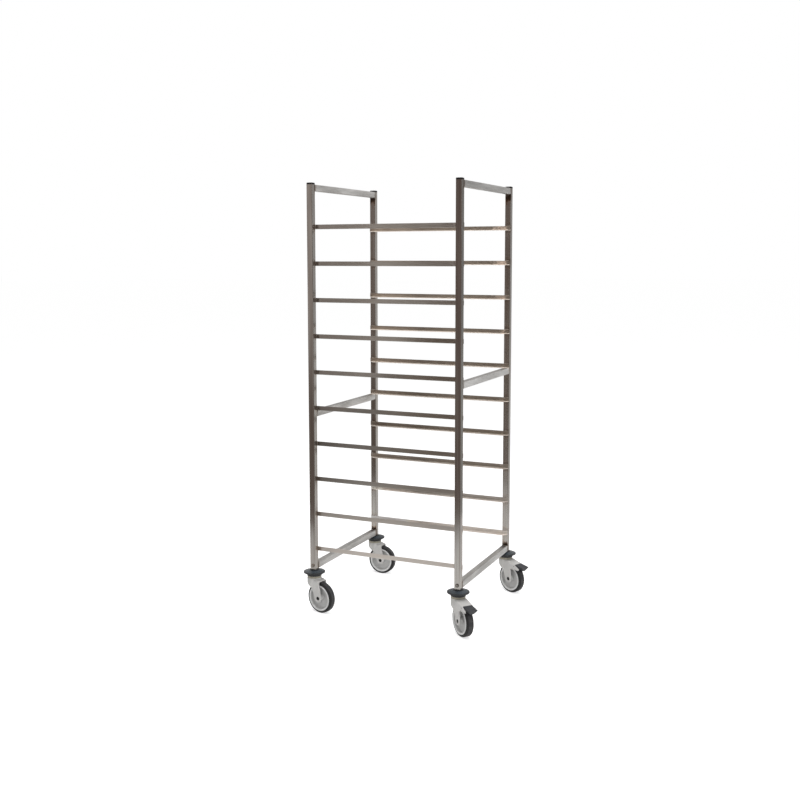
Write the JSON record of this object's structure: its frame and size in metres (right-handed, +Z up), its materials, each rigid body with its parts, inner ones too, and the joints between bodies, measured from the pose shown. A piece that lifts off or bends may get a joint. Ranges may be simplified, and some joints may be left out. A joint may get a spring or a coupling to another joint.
{
  "type": "tray trolley",
  "caption": "Tall open tray trolley: a welded square-tube steel frame with stacked pairs of tray rails, on swivel castors with round bumpers, some with foot brakes.",
  "frame": {"origin": "on the floor, under the middle of the four posts", "axes": "+X along the rails, the way the trays slide, with the braked castors at the +X end; +Y across the rails from front to rear; +Z up"},
  "size_m": [0.7883, 0.7038, 1.735],
  "materials": {
    "tube_steel": "fine brushed stainless steel",
    "rail_steel": "fine brushed stainless steel sheet",
    "plated_steel": "zinc plated, dull",
    "axle_steel": "blackened steel",
    "cap_plastic": "matt black",
    "bumper_rubber": "dark slate grey, satin",
    "castor_plastic": "warm light grey, satin",
    "wheel_plastic": "light grey, satin",
    "tyre_rubber": "charcoal, matt",
    "bush_plastic": "natural nylon",
    "pedal_plastic": "dark grey, satin"
  },
  "bodies": {
    "frame": {"post_front_left": "tube_steel", "post_front_right": "tube_steel", "post_rear_left": "tube_steel", "post_rear_right": "tube_steel", "top_bar_left": "tube_steel", "top_bar_right": "tube_steel", "middle_bar_left": "tube_steel", "middle_bar_right": "tube_steel", "bottom_bar_left": "tube_steel", "bottom_bar_right": "tube_steel", "tier_01_rails": "rail_steel", "tier_02_rails": "rail_steel", "tier_03_rails": "rail_steel", "tier_04_rails": "rail_steel", "tier_05_rails": "rail_steel", "tier_06_rails": "rail_steel", "tier_07_rails": "rail_steel", "tier_08_rails": "rail_steel", "tier_09_rails": "rail_steel", "tier_10_rails": "rail_steel", "post_caps": "cap_plastic", "stem_bolts": "plated_steel", "bumper_front_left": "bumper_rubber", "castor_stem_front_left": "plated_steel", "bumper_front_right": "bumper_rubber", "castor_stem_front_right": "plated_steel", "bumper_rear_left": "bumper_rubber", "castor_stem_rear_left": "plated_steel", "bumper_rear_right": "bumper_rubber", "castor_stem_rear_right": "plated_steel"},
    "swivel_front_left": {"castor_fork_front_left": "castor_plastic", "swivel_bearing_front_left": "plated_steel", "wheel_axle_front_left": "axle_steel"},
    "wheel_front_left": {"wheel_core_front_left": "wheel_plastic", "tyre_front_left": "tyre_rubber", "hub_bush_front_left": "bush_plastic"},
    "swivel_front_right": {"castor_fork_front_right": "castor_plastic", "swivel_bearing_front_right": "plated_steel", "wheel_axle_front_right": "axle_steel", "brake_pin_front_right": "plated_steel", "brake_spring_front_right": "plated_steel"},
    "wheel_front_right": {"wheel_core_front_right": "wheel_plastic", "tyre_front_right": "tyre_rubber", "hub_bush_front_right": "bush_plastic"},
    "pedal_front_right": {"brake_pedal_front_right": "pedal_plastic"},
    "swivel_rear_left": {"castor_fork_rear_left": "castor_plastic", "swivel_bearing_rear_left": "plated_steel", "wheel_axle_rear_left": "axle_steel"},
    "wheel_rear_left": {"wheel_core_rear_left": "wheel_plastic", "tyre_rear_left": "tyre_rubber", "hub_bush_rear_left": "bush_plastic"},
    "swivel_rear_right": {"castor_fork_rear_right": "castor_plastic", "swivel_bearing_rear_right": "plated_steel", "wheel_axle_rear_right": "axle_steel", "brake_pin_rear_right": "plated_steel", "brake_spring_rear_right": "plated_steel"},
    "wheel_rear_right": {"wheel_core_rear_right": "wheel_plastic", "tyre_rear_right": "tyre_rubber", "hub_bush_rear_right": "bush_plastic"},
    "pedal_rear_right": {"brake_pedal_rear_right": "pedal_plastic"}
  },
  "joints": [
    {"name": "swivel_turn_front_left", "type": "hinge", "parent": "frame", "child": "swivel_front_left", "pos_m": [-0.315, -0.285, 0.15], "axis": [0, 0, 1], "continuous": true},
    {"name": "wheel_roll_front_left", "type": "hinge", "parent": "swivel_front_left", "child": "wheel_front_left", "pos_m": [-0.27797, -0.29355, 0.0625], "axis": [0.225, 0.9744, 0], "continuous": true},
    {"name": "swivel_turn_front_right", "type": "hinge", "parent": "frame", "child": "swivel_front_right", "pos_m": [0.315, -0.285, 0.15], "axis": [0, 0, 1], "continuous": true},
    {"name": "wheel_roll_front_right", "type": "hinge", "parent": "swivel_front_right", "child": "wheel_front_right", "pos_m": [0.34411, -0.30943, 0.0625], "axis": [0.6428, 0.766, 0], "continuous": true},
    {"name": "brake_press_front_right", "type": "hinge", "parent": "swivel_front_right", "child": "pedal_front_right", "pos_m": [0.36862, -0.33, 0.1235], "axis": [0.6428, 0.766, 0], "range_deg": [0, 14]},
    {"name": "swivel_turn_rear_left", "type": "hinge", "parent": "frame", "child": "swivel_rear_left", "pos_m": [-0.315, 0.285, 0.15], "axis": [0, 0, 1], "continuous": true},
    {"name": "wheel_roll_rear_left", "type": "hinge", "parent": "swivel_rear_left", "child": "wheel_rear_left", "pos_m": [-0.27701, 0.28434, 0.0625], "axis": [0.0175, 0.9998, 0], "continuous": true},
    {"name": "swivel_turn_rear_right", "type": "hinge", "parent": "frame", "child": "swivel_rear_right", "pos_m": [0.315, 0.285, 0.15], "axis": [0, 0, 1], "continuous": true},
    {"name": "wheel_roll_rear_right", "type": "hinge", "parent": "swivel_rear_right", "child": "wheel_rear_right", "pos_m": [0.34944, 0.26894, 0.0625], "axis": [0.4226, 0.9063, 0], "continuous": true},
    {"name": "brake_press_rear_right", "type": "hinge", "parent": "swivel_rear_right", "child": "pedal_rear_right", "pos_m": [0.37844, 0.25542, 0.1235], "axis": [0.4226, 0.9063, 0], "range_deg": [0, 14]}
  ]
}
